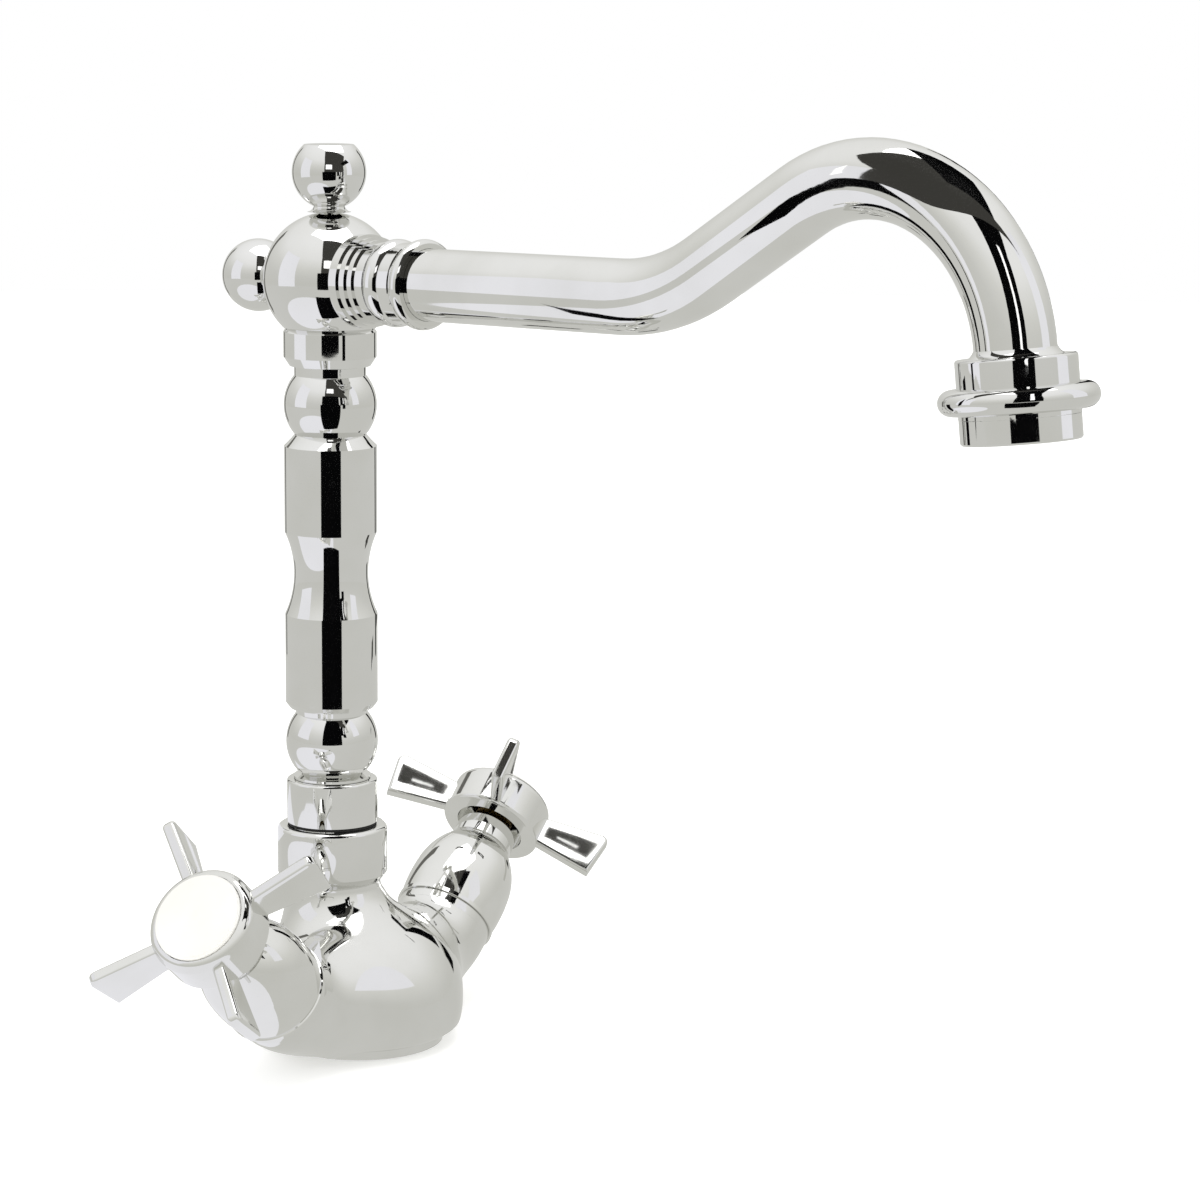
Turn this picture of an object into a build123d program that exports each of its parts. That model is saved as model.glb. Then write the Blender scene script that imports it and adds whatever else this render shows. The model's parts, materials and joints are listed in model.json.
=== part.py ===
from build123d import *
from math import cos, radians, sin, sqrt
import os

# Two-handle, single-hole basin mixer, in millimetres. +Z is up, the spout side faces -Y, and the two
# valve branches leave along -X (hot) and +X (cold). The origin is the centre of the base on the deck.

# ---- base casting ------------------------------------------------------------------------------
FOOT_R = 23.8
FOOT_LIFT = 0.3            # the chrome foot floats this far above the deck, on its rubber seal
FOOT_TOP = 2.8
BOWL_R = 29.6
BOWL_WIDE_Z = 11.5
COLUMN_Y = 9.6             # the column stands this far behind the centre of the base
COLLAR_R = 15.95
COLLAR_BOTTOM, COLLAR_TOP = 49.4, 63.4
SOCKET_R = 10.0            # swivel socket for the column's spigot
SOCKET_FLOOR = 41.0
SEAL_IN_R, SEAL_OUT_R, SEAL_TOP = 18.3, 21.7, 1.9
INLET_X, INLET_Y, INLET_R, INLET_TOP = 11.0, -4.0, 4.46, 15.0    # M10x1 hose threads, core radius
STUD_Y, STUD_R, STUD_TOP = 10.0, 3.4, 13.0                       # M8 fixing stud, core radius

# ---- valve branches, measured along each branch axis from its low end ----------------------------
BRANCH_RISE = 38.85         # degrees above the deck
BRANCH_Y, BRANCH_Z = -0.6, -12.1       # where the two branch axes meet, below the deck
BRANCH_END = 59.8
BRANCH_R = 14.7
HORN_R = 14.0              # the arm of the casting that carries one valve
HORN_BEND_R = 25.0         # the arm leaves the bowl level and bends up through this radius
HORN_FLANGE = 57.8         # the arm is round and straight from here to its end
VALVE_BORE_R = 9.35
VALVE_SEAT = 44.0
FIXED_DISC = (47.7, 50.1)  # ceramic discs of the valve
MOVING_DISC = (50.15, 52.5)
SPINDLE_FOOT = (52.6, 54.3)
SPINDLE_R = 4.0
O_RING_UP = 60.0
DISC_PORT_R, DISC_PORT_OFF = 2.3, 3.9
HEX_BASE, GLAND_TOP = 60.9, 95.8
SPINDLE_TOP = 101.8
CLIP_BOTTOM = 96.0
BELL_RIM, BELL_TOP = 59.9, 86.9
BELL_R = 15.5
SLEEVE_END = 96.4
SLEEVE_R = 9.4
HUB_BACK, HUB_FRONT = 95.1, 107.9
HUB_R = 15.5
BUTTON_R = 12.7
BUTTON_SEAT = 104.5
LEVER_TIP = 35.6
LEVER_THICK = 3.8
LEVER_BACK = 2.3           # how far a lever's tip reaches behind the hub
LEVERS = 4
HANDLE_TURN = {"hot": 39.5, "cold": 25.5}     # degrees of the first lever, from the front of the mixer
SIDES = {"hot": -1, "cold": 1}

# ---- column and head, heights above the deck -----------------------------------------------------
SEAL_RING_Z = (63.5, 64.4)
LOWER_COLLAR_TOP = 77.1
BARREL_R = 13.3
NECK_R = 10.3
LOWER_BALL_Z, UPPER_BALL_Z = 88.1, 186.0
BARREL_BOTTOM, WAIST_BOTTOM, WAIST_TOP, BARREL_TOP = 98.1, 125.5, 149.4, 174.2
WAIST_R = 10.66
COLUMN_TOP = 197.0
COLUMN_BORE_R = 6.0
HEAD_COLLAR = (197.2, 206.9)
HEAD_R, HEAD_Z = 19.0, 221.7
FINIAL_R, FINIAL_NECK_R = 10.5, 4.4
FINIAL_REACH = 30.2        # centre of the head ball to centre of a finial ball
FINIAL_CUT = 7.8           # the flat on a finial, from its centre

# ---- spout ---------------------------------------------------------------------------------------
SPOUT_SWIVEL = 15.0        # the spout stands turned this far towards the hot side
SPOUT_RISE = 1.24          # degrees
TUBE_R, TUBE_WALL = 10.05, 1.5
TUBE_START = 25.5
SPOUT_BEND = (129.2, 224.5)      # corners of the tube's centre line: forward of the column, height
SPOUT_CREST = (232.7, 288.3)
SPOUT_END = (243.6, 198.1)
BEND_R, CREST_R = 61.0, 44.0
OUTLET_R = 14.8
RING_R, RING_THICK = 16.4, 3.15
RING_UP = 10.4              # the ring's height up the outlet, from its lower end
OUTLET_TOP = 20.6
HOUSING_TOP = 6.1


def unit(x, y, z):
    return Vector(x, y, z).normalized()


HEADING = unit(-sin(radians(SPOUT_SWIVEL)), -cos(radians(SPOUT_SWIVEL)), 0)
SPOUT_AXIS = (HEADING * cos(radians(SPOUT_RISE)) + Vector(0, 0, sin(radians(SPOUT_RISE)))).normalized()
COLUMN = Location((0, COLUMN_Y, 0))
HEAD_CENTRE = Vector(0, COLUMN_Y, HEAD_Z)
HEAD = Plane(origin=HEAD_CENTRE, x_dir=(0, 0, 1), z_dir=SPOUT_AXIS)
SPOUT_PLANE = Plane(origin=(0, COLUMN_Y, 0), x_dir=HEADING, z_dir=HEADING.cross(Vector(0, 0, 1)))


def in_spout_plane(point):
    return HEADING * point[0] + Vector(0, COLUMN_Y, point[1])


OUTLET_AXIS = (in_spout_plane(SPOUT_CREST) - in_spout_plane(SPOUT_END)).normalized()
OUTLET = Plane(origin=in_spout_plane(SPOUT_END), x_dir=SPOUT_PLANE.z_dir, z_dir=OUTLET_AXIS)


def branch(side):
    """Frame of one valve branch: +Z runs up its axis and +X points to the front of the mixer."""
    rise = radians(BRANCH_RISE)
    axis = (SIDES[side] * cos(rise), 0, sin(rise))
    return Plane(origin=(0, BRANCH_Y, BRANCH_Z), x_dir=(0, -1, 0), z_dir=axis)


# ---- helpers ---------------------------------------------------------------------------------------
def lathe(*stations):
    """Turn a closed outline about +Z. (r, z) is a corner; (r, z, 1) is a point that an arc passes."""
    edges = []
    corner = via = None
    for station in (*stations, stations[0]):
        point = (station[0], 0, station[1])
        if len(station) == 3:
            via = point
            continue
        if corner is not None:
            edges.append(ThreePointArc(corner, via, point) if via else Line(corner, point))
        corner, via = point, None
    return revolve(make_face(edges), Axis.Z)


def rod(radius, bottom, top):
    return Pos(0, 0, (bottom + top) / 2) * Cylinder(radius, top - bottom)


def tube(outer, inner, bottom, top):
    return rod(outer, bottom, top) - rod(inner, bottom - 1, top + 1)


def ring(radius, thick, height):
    return Pos(0, 0, height) * Torus(radius, thick)


def ball_r(radius, offset):
    """Radius of a ball's section at this distance from its centre."""
    return sqrt(radius * radius - offset * offset)


def hexagon(across_flats, bottom, top):
    return Pos(0, 0, bottom) * extrude(RegularPolygon(across_flats / sqrt(3), 6), top - bottom)


def save(name, shape):
    solids = shape.solids()
    shape = solids[0] if len(solids) == 1 else Compound(children=solids)
    shape.label = name
    export_step(shape, f"parts/{name}.step")
    print(name, len(solids), round(sum(s.volume for s in solids), 1))


# ---- base ------------------------------------------------------------------------------------------
def horn(side):
    """Arm of the casting for one valve: level out of the bowl, then bent up to the branch axis."""
    frame = branch(side)
    rise = radians(BRANCH_RISE)
    end = frame.origin + frame.z_dir * HORN_FLANGE
    level = end.Z - HORN_BEND_R * (1 - cos(rise))
    start = end - Vector(SIDES[side] * HORN_BEND_R * sin(rise), 0, end.Z - level)
    path = Line((0, BRANCH_Y, level), start) + TangentArc(start, end, tangent=(SIDES[side], 0, 0))
    arm = sweep(Plane(origin=(0, BRANCH_Y, level), z_dir=(SIDES[side], 0, 0)) * Circle(HORN_R), path)
    flange = lathe((0, HORN_FLANGE - 0.8), (HORN_R + 0.4, HORN_FLANGE - 0.8), (BRANCH_R, HORN_FLANGE), (BRANCH_R, BRANCH_END),
                   (0, BRANCH_END))
    return arm + frame * flange


def bowl():
    foot = rod(FOOT_R, FOOT_LIFT, FOOT_TOP)
    bulge = lathe((0, 1.4), (FOOT_R - 0.6, FOOT_TOP - 0.4), (BOWL_R - 1.6, 6.2, 1), (BOWL_R, BOWL_WIDE_Z),
                  (27.4, 22.0, 1), (17.0, 32.5), (0, 32.5))
    return foot + bulge


def stem():
    neck = lathe((0, 20), (20.0, 24), (15.2, 35, 1), (13.9, 46.7), (COLLAR_R, COLLAR_BOTTOM),
                 (COLLAR_R, COLLAR_TOP - 1.2), (COLLAR_R - 0.4, COLLAR_TOP - 0.4, 1),
                 (COLLAR_R - 1.2, COLLAR_TOP), (0, COLLAR_TOP))
    return COLUMN * neck


def waterways():
    """Everything drilled out of the casting: valve sockets, inlets, mixing passage and fixings."""
    cuts = COLUMN * (rod(SOCKET_R, SOCKET_FLOOR, COLLAR_TOP + 1) + rod(5.0, 20, SOCKET_FLOOR + 1))
    cuts += COLUMN * Pos(0, 13, 56.0) * Rot(90, 0, 0) * Cylinder(2.05, 10)
    cuts += Pos(0, 4.0, 23.5) * Rot(0, 90, 0) * Cylinder(3.0, 66)
    for side, way in SIDES.items():
        cuts += branch(side) * (rod(VALVE_BORE_R, VALVE_SEAT, BRANCH_END + 1) + rod(3.4, 35, VALVE_SEAT + 1))
        cuts += Pos(way * 20.0, INLET_Y / 2, 12.4) * Rot(0, 90, way * -10.0) * Cylinder(2.8, 24)
        cuts += Pos(way * INLET_X, INLET_Y, 0) * rod(INLET_R, -1, INLET_TOP)
    cuts += Pos(0, STUD_Y, 0) * rod(STUD_R, -1, STUD_TOP)
    cuts += tube(SEAL_OUT_R + 0.05, SEAL_IN_R - 0.05, -1, SEAL_TOP + 0.05)
    return cuts


def body_casting():
    above_deck = Pos(0, 0, 50 + FOOT_LIFT) * Box(200, 200, 100)
    outside = bowl() + horn("hot") + horn("cold") + stem()
    return (outside & above_deck) - waterways()


def column_grub_screw():
    screw = rod(2.0, 10.9, 15.2) + rod(1.2, 9.2, 10.9) - hexagon(2.0, 13.4, 16)
    return COLUMN * Pos(0, 0, 56.0) * Rot(-90, 0, 0) * screw


# ---- one valve and its handle, along the branch axis -------------------------------------------------
def gland():
    body = rod(9.3, VALVE_SEAT + 0.5, 61.0) + hexagon(21.0, HEX_BASE, 67.0) + rod(8.0, 66.5, GLAND_TOP)
    cavity = rod(7.8, VALVE_SEAT, SPINDLE_FOOT[1] + 0.2) + rod(SPINDLE_R + 0.05, SPINDLE_FOOT[1], GLAND_TOP + 1)
    window = Pos(0, 0, SPINDLE_FOOT[0] - 1.3) * Rot(0, 90, 0) * Cylinder(2.2, 30)
    return body - cavity - window


def spindle():
    shaft = rod(SPINDLE_R, SPINDLE_FOOT[1], SPINDLE_TOP) + rod(7.5, *SPINDLE_FOOT)
    grooves = tube(4.5, 3.0, O_RING_UP - 0.8, O_RING_UP + 0.8)
    grooves += tube(4.5, 3.5, CLIP_BOTTOM - 0.05, CLIP_BOTTOM + 0.85)
    flats = Pos(0, 0, SPINDLE_TOP - 1.5) * (Box(9, 9, 4) - Box(9, 6.6, 5))
    return shaft - grooves - flats - rod(1.7, SPINDLE_TOP - 10, SPINDLE_TOP + 1)


def disc_with_ports(radius, bottom, top):
    port = rod(DISC_PORT_R, bottom - 1, top + 1)
    return rod(radius, bottom, top) - Pos(DISC_PORT_OFF, 0, 0) * port - Pos(-DISC_PORT_OFF, 0, 0) * port


def spindle_clip():
    gap = Pos(4.6, 0, CLIP_BOTTOM) * Box(6, 3.2, 3)
    return tube(5.6, 3.55, CLIP_BOTTOM, CLIP_BOTTOM + 0.8) - gap


def bell_shroud():
    outside = ((15.35, BELL_RIM), (15.35, 61.1), (14.95, 61.3), (BELL_R, 69.0, 1), (15.2, 74.0), (13.6, 80.6, 1),
               (9.6, BELL_TOP))
    inside = ((8.1, BELL_TOP), (8.1, 85.2), (12.0, 79.4, 1), (13.6, 73.0), (13.6, BELL_RIM))
    return lathe(*outside, *inside)


def neck_sleeve():
    return lathe((8.1, BELL_TOP + 0.05), (9.0, BELL_TOP + 0.05), (9.0, 87.4), (SLEEVE_R + 0.2, 87.7), (SLEEVE_R, 91.0, 1),
                 (SLEEVE_R - 0.5, SLEEVE_END), (8.1, SLEEVE_END))


def hub():
    shape = lathe((6.6, HUB_BACK + 6.0), (10.6, HUB_BACK + 6.0), (10.6, HUB_BACK), (HUB_R - 1.2, HUB_BACK),
                  (HUB_R - 0.3, HUB_BACK + 0.4, 1), (HUB_R, HUB_BACK + 1.2), (HUB_R, HUB_FRONT - 3.0),
                  (HUB_R - 0.7, HUB_FRONT - 0.9, 1), (HUB_R - 2.4, HUB_FRONT), (BUTTON_R + 0.2, HUB_FRONT),
                  (BUTTON_R + 0.2, BUTTON_SEAT), (6.6, BUTTON_SEAT))
    return shape


def lever(angle):
    """A flat blade standing along the branch axis, flaring towards its tip."""
    outline = Polyline((HUB_R - 1.6, 0, HUB_BACK + 0.8), (LEVER_TIP - 2.0, 0, HUB_BACK - LEVER_BACK),
                       (LEVER_TIP, 0, HUB_FRONT - 0.2), (HUB_R - 1.6, 0, HUB_FRONT - 2.6), close=True)
    blade = extrude(make_face(outline), LEVER_THICK / 2, both=True)
    tips = blade.edges().filter_by(Axis.Y).group_by(Axis.X)[-1]
    blade = fillet(tips, 2.2)
    faces = blade.faces().sort_by(Axis.Y)
    rims = [e for e in faces[0].edges() + faces[-1].edges() if e.center().X > HUB_R + 0.5]
    return Rot(0, 0, angle) * fillet(rims, 1.1)


def handle(side):
    shape = hub()
    for number in range(LEVERS):
        angle = HANDLE_TURN[side] + number * 360 / LEVERS
        shape += lever(angle)
    return shape


def handle_insert():
    shape = rod(6.55, SPINDLE_TOP - 4.4, BUTTON_SEAT - 0.1) - rod(3.9, SPINDLE_TOP + 0.1, BUTTON_SEAT)
    flats = Pos(0, 0, SPINDLE_TOP - 1.5) * Box(8.2, 6.7, 4.0)
    keyway = rod(4.05, HUB_BACK, SPINDLE_TOP + 0.2) & (flats + rod(4.05, HUB_BACK, SPINDLE_TOP - 3.4))
    return shape - keyway - rod(2.2, HUB_BACK, BUTTON_SEAT)


def handle_screw():
    base = SPINDLE_TOP + 0.15
    return rod(3.6, base, base + 2.3) + rod(1.6, base - 9, base) - hexagon(2.5, base + 1, base + 3)


def index_button():
    """Glazed porcelain disc with a shallow dome, held in the front of the hub."""
    edge_r, edge_z, crown_z = BUTTON_R - 0.8, HUB_FRONT + 1.2, HUB_FRONT + 1.9
    dome_r = (edge_r ** 2 + (crown_z - edge_z) ** 2) / (2 * (crown_z - edge_z))
    half_way = (edge_r / 2, crown_z - dome_r + ball_r(dome_r, edge_r / 2), 1)
    return lathe((0, BUTTON_SEAT + 0.1), (BUTTON_R - 0.6, BUTTON_SEAT + 0.1), (BUTTON_R, BUTTON_SEAT + 0.7),
                 (BUTTON_R, HUB_FRONT + 0.4), (BUTTON_R - 0.23, HUB_FRONT + 0.97, 1), (edge_r, edge_z),
                 half_way, (0, crown_z))


def valve_parts(side):
    """Every piece of one valve by name, in the branch frame."""
    return {
        f"{side}_valve_gland": gland(),
        f"{side}_gland_washer": tube(12.0, 9.5, BRANCH_END, HEX_BASE),
        f"{side}_seat_seal": tube(7.6, 3.2, VALVE_SEAT + 0.6, FIXED_DISC[0] - 0.1),
        f"{side}_fixed_disc": disc_with_ports(7.7, *FIXED_DISC),
        f"{side}_moving_disc": disc_with_ports(7.4, *MOVING_DISC),
        f"{side}_spindle": spindle(),
        f"{side}_spindle_o_ring": ring(3.52, 0.48, O_RING_UP),
        f"{side}_spindle_clip": spindle_clip(),
        f"{side}_bell_shroud": bell_shroud(),
        f"{side}_neck_sleeve": neck_sleeve(),
        f"{side}_handle": handle(side),
        f"{side}_handle_insert": handle_insert(),
        f"{side}_handle_screw": handle_screw(),
        f"{side}_index_button": index_button(),
    }


# ---- column, turning in the base ---------------------------------------------------------------------
def swivel_spigot():
    outside = ((9.95, 42.0), (9.95, SEAL_RING_Z[0] + 0.1), (11.0, SEAL_RING_Z[0] + 0.1), (11.0, SEAL_RING_Z[1]),
               (13.15, SEAL_RING_Z[1]), (13.15, LOWER_COLLAR_TOP - 0.8), (12.9, LOWER_COLLAR_TOP - 0.25, 1),
               (12.35, LOWER_COLLAR_TOP), (8.0, LOWER_COLLAR_TOP), (8.0, 86.0))
    shape = lathe(*outside, (COLUMN_BORE_R, 86.0), (COLUMN_BORE_R, 42.0))
    for bottom, top, depth in ((45.0, 47.4, 8.6), (49.4, 51.8, 8.6), (54.4, 57.6, 8.4), (59.0, 62.6, 9.0)):
        shape -= tube(10.5, depth, bottom, top)
    return shape


def column():
    low = LOWER_BALL_Z - LOWER_COLLAR_TOP - 0.9
    stations = [
        (8.05, LOWER_COLLAR_TOP + 0.1), (11.2, LOWER_COLLAR_TOP + 0.1), (11.2, LOWER_COLLAR_TOP + 0.9),
        (ball_r(BARREL_R, low), LOWER_BALL_Z - low), (BARREL_R, LOWER_BALL_Z, 1),
        (ball_r(BARREL_R, 8.3), LOWER_BALL_Z + 8.3), (10.6, BARREL_BOTTOM), (12.1, BARREL_BOTTOM),
        (BARREL_R, BARREL_BOTTOM + 1.6), (BARREL_R, WAIST_BOTTOM),
        (WAIST_R, (WAIST_BOTTOM + WAIST_TOP) / 2, 1), (BARREL_R, WAIST_TOP), (BARREL_R, BARREL_TOP),
        (11.6, BARREL_TOP + 1.7, 1), (NECK_R, 177.4), (ball_r(BARREL_R, 8.45), UPPER_BALL_Z - 8.45),
        (BARREL_R, UPPER_BALL_Z, 1), (ball_r(BARREL_R, 8.45), UPPER_BALL_Z + 8.45), (NECK_R, COLUMN_TOP),
        (8.0, COLUMN_TOP), (8.0, 205.0), (COLUMN_BORE_R, 205.0), (COLUMN_BORE_R, 86.1), (8.05, 86.1),
    ]
    return lathe(*stations)


def head_body():
    low, high = HEAD_COLLAR
    outside = lathe((0, low), (11.6, low), (BARREL_R, low + 2.6), (BARREL_R, high), (12.6, high + 0.9),
                    (12.6, 212), (0, 212))
    outside = COLUMN * outside + Pos(*HEAD_CENTRE) * Sphere(HEAD_R)
    steps = rod(13.2, 10, 16.6) + rod(12.6, 10, 19.2) + rod(12.0, 10, 21.6) + rod(11.4, 10, 25.2)
    passage = COLUMN * (rod(8.05, low - 1, 205.1) + rod(6.0, 200, HEAD_Z)) + HEAD * (rod(8.8, 0, 23.8) + rod(10.45, 23.8, 30))
    sockets = COLUMN * rod(3.05, HEAD_Z + 14, HEAD_Z + 22) + HEAD * rod(3.05, -22, -14)
    return outside + HEAD * steps - passage - sockets


def finial():
    """A ball on a short neck with a stub that goes into the head, standing up from the head's centre."""
    neck_top = FINIAL_REACH - ball_r(FINIAL_R, FINIAL_NECK_R)
    flat_r = ball_r(FINIAL_R, FINIAL_CUT)
    side = FINIAL_REACH + FINIAL_CUT
    return lathe((0, 14.3), (3.0, 14.3), (3.0, HEAD_R + 0.05), (6.2, HEAD_R + 0.05), (4.9, HEAD_R + 0.7, 1),
                 (FINIAL_NECK_R, HEAD_R + 1.6), (FINIAL_NECK_R, neck_top), (FINIAL_R, FINIAL_REACH, 1),
                 (flat_r, side), (0, side))


def spout_nut():
    """Union nut with two rounded beads and a flat band, over the root of the spout tube."""
    return lathe((TUBE_R + 0.05, 25.3), (11.2, 25.3), (12.3, 27.9, 1), (11.2, 30.5), (10.9, 30.7), (10.9, 31.2),
                 (11.4, 31.4), (11.4, 35.2), (11.0, 35.5), (11.0, 36.2), (11.5, 36.4), (12.6, 38.4, 1),
                 (11.5, 40.4), (TUBE_R + 0.05, 40.4))


def spout_tube():
    start = (TUBE_START * cos(radians(SPOUT_RISE)), HEAD_Z + TUBE_START * sin(radians(SPOUT_RISE)))
    dx, dz = SPOUT_CREST[0] - SPOUT_END[0], SPOUT_CREST[1] - SPOUT_END[1]
    share = (HOUSING_TOP + 4.0) / sqrt(dx * dx + dz * dz)
    end = (SPOUT_END[0] + dx * share, SPOUT_END[1] + dz * share)
    path = SPOUT_PLANE * FilletPolyline(start, SPOUT_BEND, SPOUT_CREST, end, radius=[BEND_R, CREST_R])
    section = Plane(origin=path @ 0, z_dir=path % 0)
    return sweep(section * Circle(TUBE_R), path) - sweep(section * Circle(TUBE_R - TUBE_WALL), path)


def outlet_collar():
    shape = lathe((TUBE_R + 0.05, HOUSING_TOP + 8.0), (13.2, HOUSING_TOP + 8.0), (13.2, HOUSING_TOP + 0.1),
                  (OUTLET_R, HOUSING_TOP + 0.1), (OUTLET_R, OUTLET_TOP - 0.8), (OUTLET_R - 0.25, OUTLET_TOP - 0.2, 1),
                  (OUTLET_R - 0.8, OUTLET_TOP), (11.6, OUTLET_TOP), (10.9, OUTLET_TOP + 0.6, 1),
                  (TUBE_R + 0.05, OUTLET_TOP + 1.8))
    return shape + ring(RING_R, RING_THICK, RING_UP) - rod(13.2, 0, HOUSING_TOP + 8.0) - rod(TUBE_R + 0.05, 0, 30)


def aerator_housing():
    return lathe((12.2, 0), (14.3, 0), (14.75, 0.5), (14.75, HOUSING_TOP), (13.1, HOUSING_TOP),
                 (13.1, HOUSING_TOP + 5.5), (11.9, HOUSING_TOP + 5.5), (11.9, 3.4), (12.2, 3.4))


def aerator_insert():
    """Plastic jet former: a cup whose lower face is pierced in rings of round holes."""
    shape = rod(11.8, 3.5, 11.4) - rod(10.4, 5.2, 12)
    for radius, count in ((0, 1), (2.6, 6), (5.2, 12), (7.8, 18)):
        for number in range(count):
            shape -= Rot(0, 0, number * 360 / count) * Pos(radius, 0, 0) * rod(0.8, 3, 6)
    return shape


def spout_parts():
    """Every piece that turns with the column."""
    column_pieces = {
        "swivel_spigot": swivel_spigot(),
        "swivel_seal_ring": tube(12.85, 11.05, *SEAL_RING_Z),
        "swivel_o_rings": ring(9.27, 0.63, 46.2) + ring(9.27, 0.63, 50.6),
        "slip_bush": tube(9.93, 9.05, 59.05, 62.55),
        "column": column(),
    }
    pieces = {name: COLUMN * shape for name, shape in column_pieces.items()}
    pieces["head_body"] = head_body()
    pieces["top_finial"] = Pos(*HEAD_CENTRE) * finial()
    pieces["rear_finial"] = HEAD * Rot(180, 0, 0) * finial()
    pieces["spout_nut"] = HEAD * spout_nut()
    pieces["spout_o_ring"] = HEAD * ring(9.7, 0.7, 24.6)
    pieces["spout_tube"] = spout_tube()
    pieces["outlet_collar"] = OUTLET * outlet_collar()
    pieces["aerator_housing"] = OUTLET * aerator_housing()
    pieces["aerator_insert"] = OUTLET * aerator_insert()
    pieces["aerator_washer"] = OUTLET * tube(12.9, 10.6, HOUSING_TOP + 5.6, HOUSING_TOP + 7.0)
    return pieces


def main():
    os.makedirs("parts", exist_ok=True)
    save("body_casting", body_casting())
    save("base_seal", tube(SEAL_OUT_R, SEAL_IN_R, 0, SEAL_TOP))
    save("column_grub_screw", column_grub_screw())
    for side in SIDES:
        for name, shape in valve_parts(side).items():
            save(name, branch(side) * shape)
    for name, shape in spout_parts().items():
        save(name, shape)


main()
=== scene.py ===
# %% [markdown]
# A chrome basin mixer, finished in Blender.
# The engineering model holds the shapes and the joints. This lesson loads it as a fixed frame, gives
# every piece the surface that its real material has, and stands it in a small studio.
# Distances are in metres. +Z is up, the spout side faces -Y, hot is on -X and cold on +X.

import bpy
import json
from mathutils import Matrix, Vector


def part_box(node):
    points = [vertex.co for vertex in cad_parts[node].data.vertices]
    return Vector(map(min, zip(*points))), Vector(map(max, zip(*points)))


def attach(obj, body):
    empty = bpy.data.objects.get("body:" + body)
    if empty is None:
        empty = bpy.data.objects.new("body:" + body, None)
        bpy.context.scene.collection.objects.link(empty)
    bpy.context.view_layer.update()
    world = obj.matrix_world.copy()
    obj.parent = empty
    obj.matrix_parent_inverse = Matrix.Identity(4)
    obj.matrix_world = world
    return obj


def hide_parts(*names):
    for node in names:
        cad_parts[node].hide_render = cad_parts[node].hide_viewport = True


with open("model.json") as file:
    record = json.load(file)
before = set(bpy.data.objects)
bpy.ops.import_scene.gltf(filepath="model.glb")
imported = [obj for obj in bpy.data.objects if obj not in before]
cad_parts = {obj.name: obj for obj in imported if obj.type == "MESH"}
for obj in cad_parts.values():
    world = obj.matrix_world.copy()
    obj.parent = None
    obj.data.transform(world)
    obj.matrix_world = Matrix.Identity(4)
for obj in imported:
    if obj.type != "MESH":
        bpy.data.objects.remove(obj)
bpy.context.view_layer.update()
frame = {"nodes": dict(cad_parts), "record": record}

# %% [markdown]
# A few libraries do the work: bpy holds the scene, bmesh cuts a mesh finer, numpy moves many points
# at once, and mathutils turns and places things.

# %% Tools used all through
import json
import math

import bmesh
import bpy
import numpy as np
from mathutils import Matrix, Vector

MM = 0.001
nodes = frame["nodes"]
print(len(nodes), "pieces in the frame")

# %% [markdown]
# Colours are chosen on a screen as sRGB hex codes, but the renderer mixes light in linear numbers.
# One function turns the first into the second, so that a code means the same everywhere below.

# %% Hex colour to linear colour
def linear(code):
    channels = [int(code[i:i + 2], 16) / 255 for i in (1, 3, 5)]
    lit = [c / 12.92 if c <= 0.04045 else ((c + 0.055) / 1.055) ** 2.4 for c in channels]
    return tuple(lit) + (1.0,)


print("white reads as", linear("#ffffff"))

# %% [markdown]
# Every material below is a small tree of nodes. One helper adds a node, fills in its settings and
# connects its inputs, so that each material reads as a list of what happens to the surface. An input
# is named by its label, or by its place, such as i0, where two inputs share a label.

# %% A helper that adds one node
def add(tree, kind, settings=None, **inputs):
    node = tree.nodes.new(kind)
    for key, value in (settings or {}).items():
        setattr(node, key, value)
    for key, value in inputs.items():
        by_place = key[0] == "i" and key[1:].isdigit()
        socket = node.inputs[int(key[1:]) if by_place else key.replace("_", " ")]
        if isinstance(value, bpy.types.NodeSocket):
            tree.links.new(value, socket)
        else:
            socket.default_value = value
    return node


print("helper ready:", add.__name__)

# %% [markdown]
# Plated pieces, mouldings, glaze and turned metal all share one plan: a principled surface, a
# roughness and a tone that change slowly from place to place, and a height that tilts the reflections
# a little. Real polishing marks are some hundredths of a millimetre apart, too fine to show at this
# distance, so they are drawn as ripples 0.4 to 9 mm wide. Dried drops of water keep their real size,
# two or three millimetres across.

# %% Build a surface from its recipe
CLOUD_MM = 22                     # wear comes and goes over patches about this wide
CLOUD_SPAN = {"From_Min": 0.35, "From_Max": 0.7}       # the part of each pattern that is used
GRAIN_SPAN = {"From_Min": 0.3, "From_Max": 0.8}
GRAIN_SHARE = 0.6                 # the fine marks add this much of the wear again
DROP_PITCH = 4                    # dried drops stand four of their widths apart
DROP_EDGE = {"From_Min": 0.10, "From_Max": 0.16}
GLAZE_ROUGH = 0.02


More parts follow.
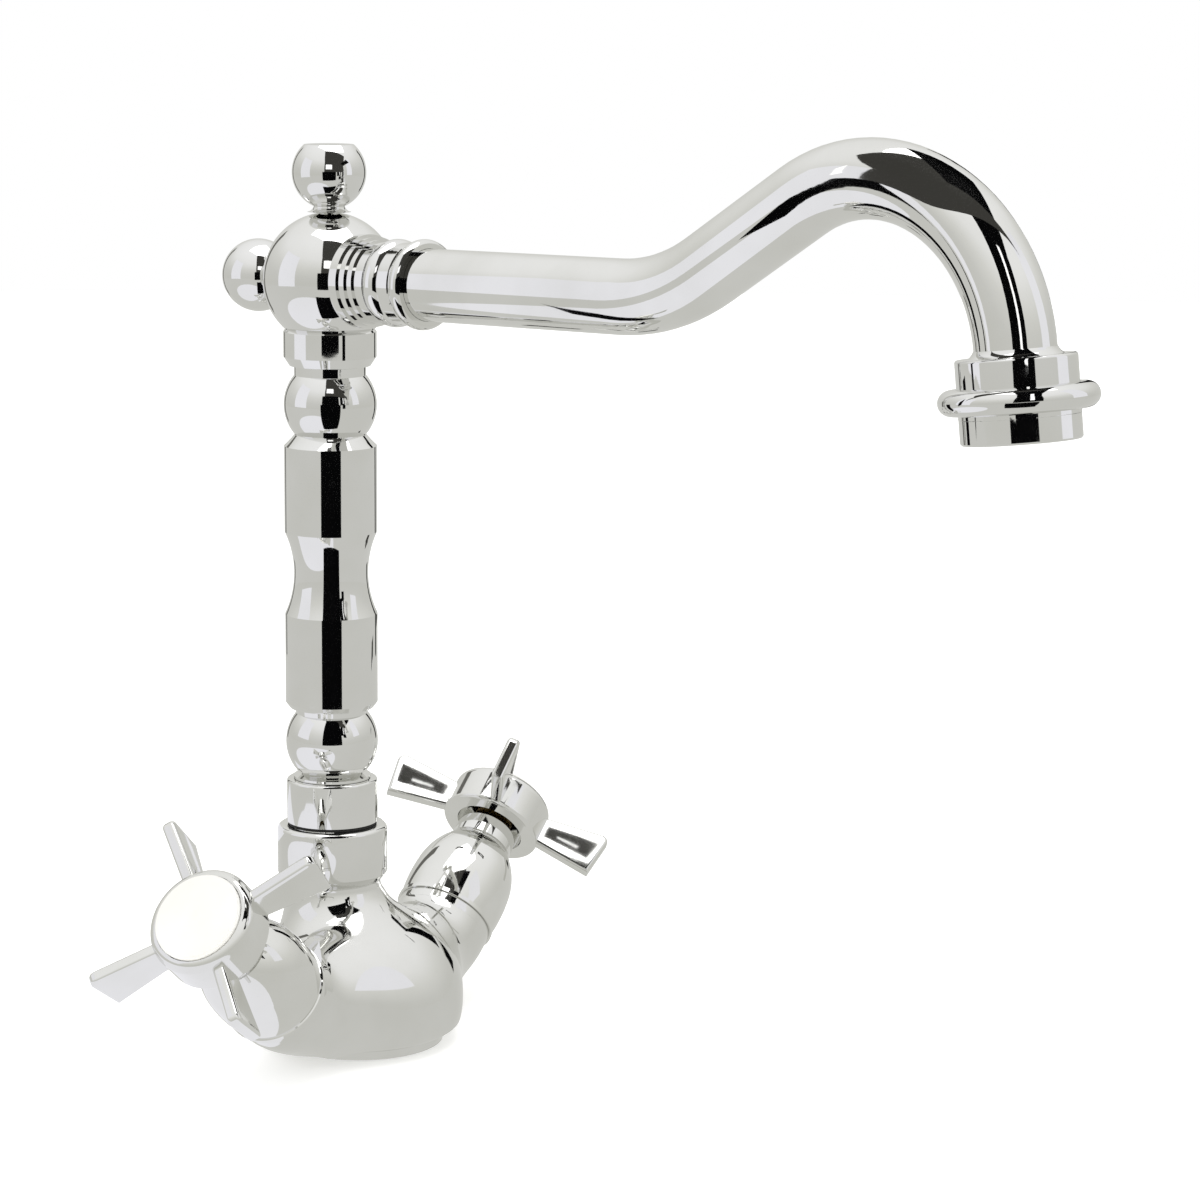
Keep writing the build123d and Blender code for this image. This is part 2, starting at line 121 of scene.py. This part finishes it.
def surface(name, tones, metallic, rough, grain_mm, height_mm, spot_mm=0.0, spot_rough=0.0,
            stretch=(1, 1, 1), ior=None, coat=0.0):
    material = bpy.data.materials.new(name)
    material.use_nodes = True
    tree = material.node_tree
    tree.nodes.clear()
    place = add(tree, "ShaderNodeTexCoord").outputs["Object"]
    stretched = add(tree, "ShaderNodeMapping", Vector=place, Scale=stretch).outputs[0]
    grain = add(tree, "ShaderNodeTexNoise", Vector=stretched, Scale=1 / (grain_mm * MM), Detail=4.0,
                Roughness=0.55)
    cloud = add(tree, "ShaderNodeTexNoise", Vector=place, Scale=1 / (CLOUD_MM * MM), Detail=3.0)
    low, high = rough
    wear = add(tree, "ShaderNodeMapRange", Value=cloud.outputs[0], To_Min=low, To_Max=high, **CLOUD_SPAN)
    marks = add(tree, "ShaderNodeMapRange", Value=grain.outputs[0], To_Min=0.0,
                To_Max=(high - low) * GRAIN_SHARE, **GRAIN_SPAN)
    value = add(tree, "ShaderNodeMath", {"operation": "ADD"}, i0=wear.outputs[0],
                i1=marks.outputs[0]).outputs[0]
    if spot_mm:
        drops = add(tree, "ShaderNodeTexVoronoi", Vector=place, Scale=1 / (spot_mm * DROP_PITCH * MM))
        dried = add(tree, "ShaderNodeMapRange", Value=drops.outputs["Distance"], To_Min=spot_rough,
                    To_Max=0.0, **DROP_EDGE)
        value = add(tree, "ShaderNodeMath", {"operation": "ADD"}, i0=value, i1=dried.outputs[0]).outputs[0]
    bump = add(tree, "ShaderNodeBump", Height=grain.outputs[0], Distance=height_mm * MM, Strength=1.0)
    patch = add(tree, "ShaderNodeMapRange", Value=cloud.outputs[0], **CLOUD_SPAN)
    tone = add(tree, "ShaderNodeMix", {"data_type": "RGBA"}, Factor=patch.outputs[0],
               A=linear(tones[0]), B=linear(tones[1]))
    shader = add(tree, "ShaderNodeBsdfPrincipled", Metallic=metallic, Roughness=value,
                 Normal=bump.outputs[0], Base_Color=tone.outputs["Result"])
    if ior:
        shader.inputs["IOR"].default_value = ior
    if coat:
        shader.inputs["Coat Weight"].default_value = coat
        shader.inputs["Coat Roughness"].default_value = GLAZE_ROUGH
    add(tree, "ShaderNodeOutputMaterial", Surface=shader.outputs[0])
    return material


print("recipe function ready")

# %% [markdown]
# Bright chrome is a layer of chromium over nickel on polished brass. It mirrors the room almost
# perfectly, a touch warm in the greys. What lies under the plate decides how the mirror ripples, so
# there is one chrome for each way of making the piece. Metals keep the default index of refraction.

# %% Chrome for each way of making
METAL, NOT_METAL = 1.0, 0.0
ROUND_Z = (0.3, 0.3, 3.0)         # marks close together along Z and long around it

finishes = {
    # cast, ground and polished: a slow, deep ripple
    "cast_chrome": surface("chrome_on_polished_casting", ("#e9e9e7", "#e3e3e0"), METAL, (0.030, 0.060),
                           9.0, 0.010, 2.5, 0.035),
    # turned: the flattest mirror, with fine marks that run level round the piece
    "turned_chrome": surface("chrome_on_turned_brass", ("#ebebea", "#e5e5e2"), METAL, (0.022, 0.050),
                             2.2, 0.0012, 2.2, 0.03, stretch=ROUND_Z),
    # spun from sheet: slightly uneven
    "spun_chrome": surface("chrome_on_spun_shell", ("#eaeae8", "#e3e3df"), METAL, (0.028, 0.055),
                           4.0, 0.0025, 2.2, 0.03),
    # die cast and touched all day: the softest of the mirrors
    "handle_chrome": surface("chrome_on_die_cast_handle", ("#e9e9e7", "#e2e2de"), METAL, (0.035, 0.075),
                             5.0, 0.005, 2.0, 0.035),
    # drawn and bent tube: a broad, shallow ripple
    "tube_chrome": surface("chrome_on_bent_tube", ("#ebebe9", "#e4e4e1"), METAL, (0.022, 0.048),
                           8.0, 0.004, 2.6, 0.03),
}
print("chrome finishes:", ", ".join(finishes))

# %% [markdown]
# The index buttons are porcelain: clay fired under a clear glaze, which gives a sharp highlight over a
# slightly warm white. The seals are moulded rubber, dark and dull. Inside, brass, steel, ceramic, fibre
# and acetal keep the plain look that the machines left. They hardly show, so they stay simple.

# %% Glaze, rubber and the hidden materials
TOOL_MARKS = (1, 1, 6)            # marks of a cutting tool, six times closer along Z than around it
DRAWN_MARKS = (1, 1, 5)

finishes.update({
    # smooth glaze with a faint unevenness from the firing
    "white_porcelain": surface("glazed_porcelain", ("#f5f4f0", "#f0eee8"), NOT_METAL, (0.05, 0.09),
                               6.0, 0.004, ior=1.52, coat=0.6),
    # the matt skin of the mould
    "black_rubber": surface("moulded_black_rubber", ("#151515", "#1d1c1b"), NOT_METAL, (0.55, 0.75),
                            0.6, 0.02),
    # satin, a little grey from the nickel
    "nickel_brass": surface("machined_nickel_brass", ("#b9ae93", "#a89c7f"), METAL, (0.18, 0.32),
                            0.8, 0.004, stretch=TOOL_MARKS),
    # satin yellow metal straight from the lathe
    "machined_brass": surface("machined_brass", ("#c9a35a", "#b48f4b"), METAL, (0.2, 0.34),
                              0.8, 0.004, stretch=TOOL_MARKS),
    # dull pressed paper fibre
    "red_fibre": surface("pressed_red_fibre", ("#7a2a20", "#6b241c"), NOT_METAL, (0.7, 0.85), 0.5, 0.03),
    # ground and lapped ceramic, almost glassy
    "white_alumina": surface("lapped_white_alumina", ("#efece6", "#e6e2da"), NOT_METAL, (0.12, 0.2),
                             0.4, 0.001, ior=1.76),
    "grey_alumina": surface("lapped_grey_alumina", ("#a4a4a8", "#98989d"), NOT_METAL, (0.12, 0.2),
                            0.4, 0.001, ior=1.76),
    # bright drawn steel with faint lines
    "stainless_steel": surface("bright_stainless_steel", ("#cfcdca", "#c2c0bc"), METAL, (0.12, 0.22),
                               0.7, 0.003, stretch=DRAWN_MARKS),
    # milky moulded plastic
    "acetal_plastic": surface("moulded_acetal", ("#d8d8d4", "#cfcfca"), NOT_METAL, (0.3, 0.42),
                              0.9, 0.006, ior=1.48),
})
print(len(finishes), "finishes in all")

# %% [markdown]
# The record says which material slot each piece takes. Curved faces are shaded smoothly and real
# edges stay sharp, so that a mirror surface shows no facets. A weld modifier joins the loose corners
# that a file exchange leaves, and a split modifier parts the mesh again wherever two faces meet at a
# real edge. Neither touches the frame's own vertices.

# %% Dress the pieces of the frame
SHARP = math.radians(20)
WELD_GAP = 0.000001
slot_of = {entry["node"]: entry["material_slot"] for entry in frame["record"]["subparts"]}


def dress(thing, slot_name):
    thing.data.materials.clear()
    thing.data.materials.append(finishes[slot_name])
    thing.data.polygons.foreach_set("use_smooth", [True] * len(thing.data.polygons))


for name, piece in nodes.items():
    dress(piece, slot_of[name])
    weld = piece.modifiers.new("join_corners", "WELD")
    weld.merge_threshold = WELD_GAP
    edges = piece.modifiers.new("keep_edges", "EDGE_SPLIT")
    edges.split_angle = SHARP
print("dressed", len(nodes), "pieces")

# %% [markdown]
# The casting of the real mixer has no seams: the bowl, the two arms and the neck flow into each other
# because they are one pour of metal, ground and polished. The engineering model joins them with plain
# crossings. Here its mesh is copied, cut finer, and its outer skin is moved onto a blended field: a
# function that is zero on the skin, built from a bowl, two arms and a neck with soft joins. The arms
# of the field are about half a millimetre fatter than the model's.

# %% The centre line and sizes of the casting
base_low, base_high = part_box("body_casting")
joints = {joint["name"]: joint for joint in frame["record"]["behaviour"]["joints"]}
HOT_AXIS = np.array(joints["hot_turn"]["axis"])
ARM_ORIGIN = np.array(joints["hot_turn"]["pos_m"])
NECK_CENTRE = np.array(joints["spout_swivel"]["pos_m"])[:2]
ARM_R, ARM_FLARE, ARM_BEND_R, ARM_STRAIGHT = 14.55 * MM, 0.12 * MM, 25.0 * MM, 57.8 * MM
FLARE_FROM, FLARE_TO = 0.046, 0.0572
BOWL_R, BOWL_Z, BOWL_DOWN, BOWL_UP = 29.6 * MM, 11.0 * MM, 24.0 * MM, 27.0 * MM
NECK_R, NECK_FOOT = 13.9 * MM, 18.0 * MM
ARM_BLEND, NECK_BLEND = 14.0 * MM, 11.0 * MM


def arm_gap(x, z):
    """Distance from the arm's centre line: level, then a bend, then straight up the valve's axis."""
    rise = math.asin(HOT_AXIS[2])
    end_x, end_z = -HOT_AXIS[0] * ARM_STRAIGHT, ARM_ORIGIN[2] + HOT_AXIS[2] * ARM_STRAIGHT
    turn_x = end_x - ARM_BEND_R * math.sin(rise)
    turn_z = end_z + ARM_BEND_R * math.cos(rise)
    level = np.abs(z - (turn_z - ARM_BEND_R))
    bend = np.abs(np.hypot(x - turn_x, z - turn_z) - ARM_BEND_R)
    straight = np.abs((x - end_x) * HOT_AXIS[2] + (z - end_z) * HOT_AXIS[0])
    turned = np.arctan2(x - turn_x, turn_z - z)
    return np.where(turned < 0, level, np.where(turned < rise, bend, straight))


print("valve axis rises", round(math.degrees(math.asin(HOT_AXIS[2])), 1), "degrees")

# %% [markdown]
# A soft join takes the nearer of two shapes, and where both are near it dips a little below, which
# fills the corner between them as a fillet does. Fading a number in and out smoothly is needed twice.

# %% The blended field of the casting
SLOPE_STEP = 0.0002


def fade(value, start, end):
    t = np.clip((value - start) / (end - start), 0, 1)
    return t * t * (3 - 2 * t)


def soft_join(a, b, width):
    overlap = np.maximum(width - np.abs(a - b), 0) / width
    return np.minimum(a, b) - overlap * overlap * width / 4


def casting_field(points):
    x, y, z = np.abs(points[:, 0]), points[:, 1], points[:, 2]
    tall = np.where(z > BOWL_Z, BOWL_UP, BOWL_DOWN)
    bowl = (np.sqrt((x * x + y * y) / BOWL_R ** 2 + ((z - BOWL_Z) / tall) ** 2) - 1) * BOWL_R
    along = x * -HOT_AXIS[0] + (z - ARM_ORIGIN[2]) * HOT_AXIS[2]
    swell = ARM_FLARE * fade(along, FLARE_FROM, FLARE_TO)
    arm = np.hypot(arm_gap(x, z), y - ARM_ORIGIN[1]) - ARM_R - swell
    neck = np.hypot(points[:, 0] - NECK_CENTRE[0], y - NECK_CENTRE[1]) - NECK_R
    neck = np.maximum(neck, NECK_FOOT - z)
    return soft_join(soft_join(bowl, arm, ARM_BLEND), neck, NECK_BLEND)


def field_slope(points):
    steps = SLOPE_STEP * np.eye(3)
    rows = [casting_field(points + step) - casting_field(points - step) for step in steps]
    return np.stack(rows, axis=1) / (2 * SLOPE_STEP)


print("field at the middle of the foot:", casting_field(np.zeros((1, 3))))

# %% [markdown]
# The mesh can only follow the blends if its edges are short, so the long ones are cut again and again.
# Only the band from just above the foot to the collar needs it.

# %% Cut the casting's mesh finer
FINEST = 1.5 * MM
CUT_FROM, CUT_TO = 0.001, 0.05
CUT_ROUNDS = 6


def finer_copy(source):
    mesh = bmesh.new()
    mesh.from_mesh(source)
    bmesh.ops.remove_doubles(mesh, verts=mesh.verts, dist=WELD_GAP)
    for _ in range(CUT_ROUNDS):
        long_ones = [e for e in mesh.edges if e.calc_length() > FINEST
                     and CUT_FROM < (e.verts[0].co.z + e.verts[1].co.z) / 2 < CUT_TO]
        if not long_ones:
            break
        bmesh.ops.subdivide_edges(mesh, edges=long_ones, cuts=1)
        bmesh.ops.triangulate(mesh, faces=mesh.faces)
    made = bpy.data.meshes.new("casting_skin")
    mesh.to_mesh(made)
    mesh.free()
    return made


skin_mesh = finer_copy(nodes["body_casting"].data)
print("casting cut into", len(skin_mesh.polygons), "faces")

# %% [markdown]
# Only the outer skin between the foot, the neck's collar and the arms' ends is moved. A weight fades
# the move to nothing near those edges. Faces that look inwards, such as the drilled ways, stay, and so
# does anything far from the field's own surface.

# %% Move the skin onto the field
FOOT_FADE = (0.0028, 0.0065)
COLLAR_FADE = (0.0466, 0.0425)
ARM_END_FADE = (0.0576, 0.0569)
ARM_END_FROM, ARM_END_REACH = 0.050, 0.0165
OUTWARD = 0.15
DEEPEST, HIGHEST = -0.0085, 0.004
PULL_ROUNDS = 8


def skin_weight(points):
    from_middle, height = np.abs(points[:, 0]), points[:, 2] - ARM_ORIGIN[2]
    along = from_middle * -HOT_AXIS[0] + height * HOT_AXIS[2]
    side = from_middle * HOT_AXIS[2] + height * HOT_AXIS[0]
    near_arm = (along > ARM_END_FROM) & (np.hypot(side, points[:, 1]) < ARM_END_REACH)
    weight = fade(points[:, 2], *FOOT_FADE) * fade(points[:, 2], *COLLAR_FADE)
    return weight * np.where(near_arm, fade(along, *ARM_END_FADE), 1.0)


def read_vectors(mesh, kind):
    values = np.empty(len(mesh.vertices) * 3)
    mesh.vertices.foreach_get(kind, values)
    return values.reshape(-1, 3)


def pull_to_field(mesh):
    start, facing = read_vectors(mesh, "co"), read_vectors(mesh, "normal")
    outward = (facing * field_slope(start)).sum(axis=1) > OUTWARD
    level = casting_field(start)
    weight = skin_weight(start) * (outward & (level > DEEPEST) & (level < HIGHEST))
    moved = start.copy()
    for _ in range(PULL_ROUNDS):
        slope = field_slope(moved)
        moved -= slope * (casting_field(moved) / (slope * slope).sum(axis=1))[:, None]
    points = start + (moved - start) * weight[:, None]
    points = np.clip(points, np.array(base_low), np.array(base_high))
    mesh.vertices.foreach_set("co", points.ravel())
    mesh.update()
    shift = np.linalg.norm(points - start, axis=1) / MM
    print("skin moved", round(float(np.median(shift[weight > 0.5])), 2), "mm at the median and",
          round(float(shift.max()), 2), "mm at most")
    return points, weight


skin_points, skin_moved = pull_to_field(skin_mesh)

# %% [markdown]
# The slope of the field gives the exact direction that the skin faces at each point. Those directions
# are stored as custom normals, so that the mirror finish shows no facets, and they fade into the
# mesh's own normals where the skin wasn't moved. The new skin takes the place of the model's casting.

# %% Smooth normals, and hand the casting over
casting = bpy.data.objects.new("casting_skin", skin_mesh)
bpy.context.collection.objects.link(casting)
dress(casting, "cast_chrome")
skin_mesh.set_sharp_from_angle(angle=SHARP)
corner_vertex = np.empty(len(skin_mesh.loops), int)
skin_mesh.loops.foreach_get("vertex_index", corner_vertex)
corner_normal = np.array([n.vector[:] for n in skin_mesh.corner_normals])
exact = field_slope(skin_points)
exact /= np.linalg.norm(exact, axis=1)[:, None]
share = skin_moved[corner_vertex][:, None]
blended = corner_normal * (1 - share) + exact[corner_vertex] * share
skin_mesh.normals_split_custom_set(blended.tolist())
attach(casting, "base")
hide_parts("body_casting")
print("casting skin:", len(skin_points), "points,", int((skin_moved > 0.5).sum()), "moved")

# %% [markdown]
# The floor is plain pale paper. It gives a little light of its own, so that it fades into the plain
# white surround. Reflections don't see it: a sheet of card just above it stands in for it there.

# %% The floor
FLOOR_R = 2.5
PAPER_GLOW = 0.35
scene = bpy.context.scene
scene.view_settings.view_transform = "Standard"

bpy.ops.mesh.primitive_circle_add(vertices=96, radius=FLOOR_R, fill_type="NGON", location=(0, 0, 0))
floor = bpy.context.object
floor.name = "studio_floor"
paper = bpy.data.materials.new("white_studio_paper")
paper.use_nodes = True
paper_look = paper.node_tree.nodes["Principled BSDF"]
paper_look.inputs["Base Color"].default_value = linear("#f6f6f4")
paper_look.inputs["Roughness"].default_value = 0.9
paper_look.inputs["Specular IOR Level"].default_value = 0.1
paper_look.inputs["Emission Color"].default_value = linear("#ffffff")
paper_look.inputs["Emission Strength"].default_value = PAPER_GLOW
floor.data.materials.append(paper)
floor.visible_glossy = False
print("floor", FLOOR_R * 2, "m across")

# %% [markdown]
# A product studio for chrome is a white tent: the metal shows whatever stands around it. To the camera
# the surround is plain white. Reflected rays see a soft gradient instead, light grey at eye level and
# brighter overhead, which gives the metal its tone.

# %% The tent around the object
SKY_DOWN, SKY_UP = "#d9d9d9", "#ffffff"
SKY_BANDS = ((0.30, "#d6d6d3"), (0.46, "#d0d0cb"), (0.55, "#d4d4d0"), (0.66, "#e0e0dc"), (0.80, "#f4f4f3"))

world = bpy.data.worlds.new("white_tent")
scene.world = world
world.use_nodes = True
sky = world.node_tree
sky.nodes.clear()
direction = add(sky, "ShaderNodeTexCoord").outputs["Generated"]
upward = add(sky, "ShaderNodeSeparateXYZ", Vector=direction).outputs["Z"]
lifted = add(sky, "ShaderNodeMapRange", Value=upward, From_Min=-1.0, From_Max=1.0)
ramp = add(sky, "ShaderNodeValToRGB", Fac=lifted.outputs[0])
ramp.color_ramp.elements[0].color = linear(SKY_DOWN)
ramp.color_ramp.elements[1].color = linear(SKY_UP)
for band, code in SKY_BANDS:
    stop = ramp.color_ramp.elements.new(band)
    stop.color = linear(code)
tent = add(sky, "ShaderNodeBackground", Color=ramp.outputs[0], Strength=1.0)
plain = add(sky, "ShaderNodeBackground", Color=linear("#ffffff"), Strength=1.0)
mirrored = add(sky, "ShaderNodeLightPath").outputs["Is Glossy Ray"]
mix = add(sky, "ShaderNodeMixShader", i0=mirrored, i1=plain.outputs[0], i2=tent.outputs[0])
add(sky, "ShaderNodeOutputWorld", Surface=mix.outputs[0])
print("tent ready with", len(SKY_BANDS) + 2, "tones")

# %% [markdown]
# The camera looks from the hot side, a little above the base, through a long lens. Its place is worked
# out from three directions: back towards the camera, right and up.

# %% Camera
VIEW_TURN, VIEW_DROP, VIEW_ROLL = math.radians(-62.0), math.radians(9.9), math.radians(0.44)
VIEW_DISTANCE, VIEW_RIGHT, VIEW_UP = 1.0375, 0.07751, -0.00075
LENS_MM, SENSOR_MM = 108.0, 36.0
LOOK_AT = Vector((0, NECK_CENTRE[1] + 0.0001, 0.130))
back = Vector((math.sin(VIEW_TURN) * math.cos(VIEW_DROP), -math.cos(VIEW_TURN) * math.cos(VIEW_DROP),
               math.sin(VIEW_DROP)))
level_right = Vector((math.cos(VIEW_TURN), math.sin(VIEW_TURN), 0))
level_up = back.cross(level_right)
right = level_right * math.cos(VIEW_ROLL) + level_up * math.sin(VIEW_ROLL)
up = level_up * math.cos(VIEW_ROLL) - level_right * math.sin(VIEW_ROLL)
eye = LOOK_AT + back * VIEW_DISTANCE + right * VIEW_RIGHT + up * VIEW_UP
camera = bpy.data.objects.new("camera", bpy.data.cameras.new("camera"))
bpy.context.collection.objects.link(camera)
camera.data.lens, camera.data.sensor_width = LENS_MM, SENSOR_MM
camera.matrix_world = Matrix.Translation(eye) @ Matrix((right, up, back)).transposed().to_4x4()
scene.camera = camera
print("camera at", [round(v, 3) for v in eye])

# %% [markdown]
# Black card gives chrome its contrast, and white card its bright patches. The cards below stand around
# the mixer but are seen only by reflected rays, so they draw strips in the metal without darkening the
# floor or hiding the object from any side. Each card glows in one flat colour.

# %% Card that only reflections see
CARD_COLOURS = (("black_card", "#060607", 1.0), ("dark_card", "#3f3e3b", 1.0),
                ("grey_card", "#6d6c68", 1.0), ("pale_card", "#d3d3cf", 1.0),
                ("white_card", "#f6f6fb", 1.0), ("bright_card", "#ffffff", 1.4))


def glow(name, code, strength):
    made = bpy.data.materials.new(name)
    made.use_nodes = True
    made.node_tree.nodes.clear()
    lit = add(made.node_tree, "ShaderNodeEmission", Color=linear(code), Strength=strength)
    add(made.node_tree, "ShaderNodeOutputMaterial", Surface=lit.outputs[0])
    return made


def keep_to_reflections(made, face):
    made.data.materials.append(card_faces[face])
    made.visible_camera = made.visible_diffuse = made.visible_shadow = made.visible_transmission = False


def cut_card(name, face, corners, faces):
    mesh = bpy.data.meshes.new(name)
    mesh.from_pydata(corners, [], faces)
    made = bpy.data.objects.new(name, mesh)
    bpy.context.collection.objects.link(made)
    keep_to_reflections(made, face)


card_faces = {name: glow(name, code, strength) for name, code, strength in CARD_COLOURS}
print("card colours:", ", ".join(card_faces))

# %% [markdown]
# A round, upright object shows tall cards as strips along its length. A bent sheet hangs in front of
# one part of the mixer, and its path says how far ahead and how high each fold is. The column, the
# head and the outlet each get their own dark sheet, and two thin bright ones make the sparks.

# %% Bent sheets in front of the column, the head and the outlet
COLUMN_SPOT = (0.0, NECK_CENTRE[1], 0.0)
outlet_low, outlet_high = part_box("aerator_housing")
OUTLET_SPOT = tuple((Vector(outlet_low) + Vector(outlet_high)) / 2 * Vector((1, 1, 0)))
towards = Vector((back.x, back.y, 0)).normalized()


def ribbon(name, face, corners):
    """A card made of pairs of corners, joined in order."""
    faces = [(2 * i, 2 * i + 1, 2 * i + 3, 2 * i + 2) for i in range(len(corners) // 2 - 1)]
    cut_card(name, face, corners, faces)


def sheet(name, face, centre, path, left, right_edge):
    """A bent sheet ahead of a point: path lists (towards the camera, height) of each fold."""
    corners = []
    for ahead, tall in path:
        for side in (left, right_edge):
            spot = Vector(centre) + towards * ahead + level_right * side
            corners.append((spot.x, spot.y, tall))
    ribbon(name, face, corners)


sheet("strip_column", "black_card", COLUMN_SPOT, ((0.070, 0.086), (0.070, 0.192)), -0.0225, 0.0366)
sheet("strip_head", "black_card", COLUMN_SPOT, ((0.16, 0.185), (0.16, 0.262)), -0.045, 0.075)
sheet("shade_head", "dark_card", COLUMN_SPOT, ((0.17, 0.262), (0.17, 0.36), (0.08, 0.46)), -0.03, 0.20)
sheet("spark_head", "bright_card", COLUMN_SPOT, ((0.15, 0.282), (0.14, 0.318)), -0.015, 0.035)
sheet("strip_outlet", "black_card", OUTLET_SPOT, ((0.060, 0.160), (0.060, 0.205)), -0.026, 0.020)
sheet("strip_bend", "black_card", OUTLET_SPOT,
      ((0.110, 0.205), (0.110, 0.300), (0.085, 0.345), (0.0, 0.360), (-0.1, 0.365)), -0.028, 0.052)
sheet("spark_bend", "bright_card", OUTLET_SPOT, ((0.100, 0.225), (0.098, 0.300), (0.075, 0.335)),
      0.012, 0.022)
print("outlet stands at", [round(v, 3) for v in OUTLET_SPOT[:2]])

# %% [markdown]
# Farther out, upright cards on a circle darken or brighten the edges of round pieces. Level sheets
# that lie on the floor give the undersides its paleness.

# %% Upright and level cards farther out
ARC_CORNERS = 9


def around(turn, distance):
    """The point at a turn in degrees from the camera, round the column."""
    side = towards * math.cos(math.radians(turn)) + level_right * math.sin(math.radians(turn))
    return Vector(COLUMN_SPOT) + side * distance


def card(name, face, turn, distance, half_turn, low, high):
    """An upright strip on a circle round the column."""
    corners = []
    for step in np.linspace(turn - half_turn, turn + half_turn, ARC_CORNERS):
        spot = around(step, distance)
        corners += [(spot.x, spot.y, low), (spot.x, spot.y, high)]
    ribbon(name, face, corners)


def flat_card(name, face, turn, distance, radius, height):
    """A round sheet lying level."""
    spot = around(turn, distance)
    bpy.ops.mesh.primitive_circle_add(vertices=64, radius=radius, fill_type="NGON",
                                      location=(spot.x, spot.y, height))
    made = bpy.context.object
    made.name = name
    keep_to_reflections(made, face)


card("card_far_right", "black_card", 148, 0.6, 4, 0.0, 0.5)
card("card_far_left", "grey_card", -145, 0.6, 4, 0.0, 0.5)
card("box_left", "white_card", -75, 0.55, 18, 0.14, 0.6)
card("box_right", "white_card", 70, 0.50, 9, 0.20, 0.60)
flat_card("floor_sheet", "pale_card", 0, 0.0, 1.6, 0.0004)
flat_card("floor_sheet_near", "white_card", -46, 0.26, 0.22, 0.0008)
print("upright and level cards placed")

# %% [markdown]
# The levers are nearly flat mirrors, so each shows one small part of the studio. A flat mirror sends a
# ray from the camera off at the same angle on the other side, and the card stands where that ray goes.
# These cards are placed for the camera above, and from any other side the levers show something else.

# %% Small cards for the levers
LEVER_TURN = {"hot": 39.5, "cold": 25.5}
LEVER_MIDDLE = 7.3 * MM           # how far the middle of the levers lies behind the front of the button
TAPER = 0.7                       # a patch is this much as wide at its end near the hub
# along the lever from and to, behind and ahead of its middle, and how far away the card is
MIDDLE_PATCH = (0.0163, 0.0338, -0.0064, 0.0058, 0.060)
SPARK_PATCH = (0.0205, 0.0285, -0.0030, -0.0012, 0.058)


def mirrored_card(name, face, corners, normal, distance):
    """The card that a flat face shows the camera between these corners, by the law of reflection."""
    placed = []
    for corner in corners:
        away = (corner - eye).normalized()
        placed.append(tuple(corner + (away - 2 * away.dot(normal) * normal) * distance))
    cut_card(name, face, placed, [(0, 1, 2, 3)])


def lever_cards(side, number, face, spark):
    """Cards for the two levers on one line of a handle, with or without a bright spark."""
    axis = Vector(joints[f"{side}_turn"]["axis"]).normalized()
    low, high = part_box(f"{side}_index_button")
    hub = (Vector(low) + Vector(high)) / 2 - axis * LEVER_MIDDLE
    first = Vector((0, -1, 0))
    turn = math.radians(LEVER_TURN[side] + 90 * number)
    reach = first * math.cos(turn) + axis.cross(first) * math.sin(turn)
    normal = axis.cross(reach)
    patches = [("middle", face, MIDDLE_PATCH)]
    if spark:
        patches.append(("spark", "bright_card", SPARK_PATCH))
    for end in (-1, 1):
        for part, colour, (near, far, behind, ahead, distance) in patches:
            outline = ((near, behind * TAPER), (far, behind), (far, ahead), (near, ahead * TAPER))
            corners = [hub + reach * end * r + axis * t for r, t in outline]
            mirrored_card(f"{side}_lever_{number}_{end + 1}_{part}", colour, corners, normal, distance)


lever_cards("cold", 0, "dark_card", True)
lever_cards("cold", 1, "dark_card", True)
lever_cards("hot", 0, "pale_card", False)
lever_cards("hot", 1, "white_card", False)
print("lever cards placed for", ", ".join(LEVER_TURN))

# %% [markdown]
# One broad lamp overhead gives the porcelain and the floor a soft light from above.

# %% The lamp
LAMP_PLACE, LAMP_AIM = Vector((0.05, -0.1, 1.1)), Vector((0, -0.08, 0.12))
LAMP_SIZE, LAMP_WATTS = 0.7, 3.0

lamp = bpy.data.objects.new("top_lamp", bpy.data.lights.new("top_lamp", "AREA"))
bpy.context.collection.objects.link(lamp)
lamp.data.size, lamp.data.energy = LAMP_SIZE, LAMP_WATTS
lamp.location = LAMP_PLACE
lamp.rotation_euler = (LAMP_AIM - LAMP_PLACE).to_track_quat("-Z", "Y").to_euler()
print("studio ready")
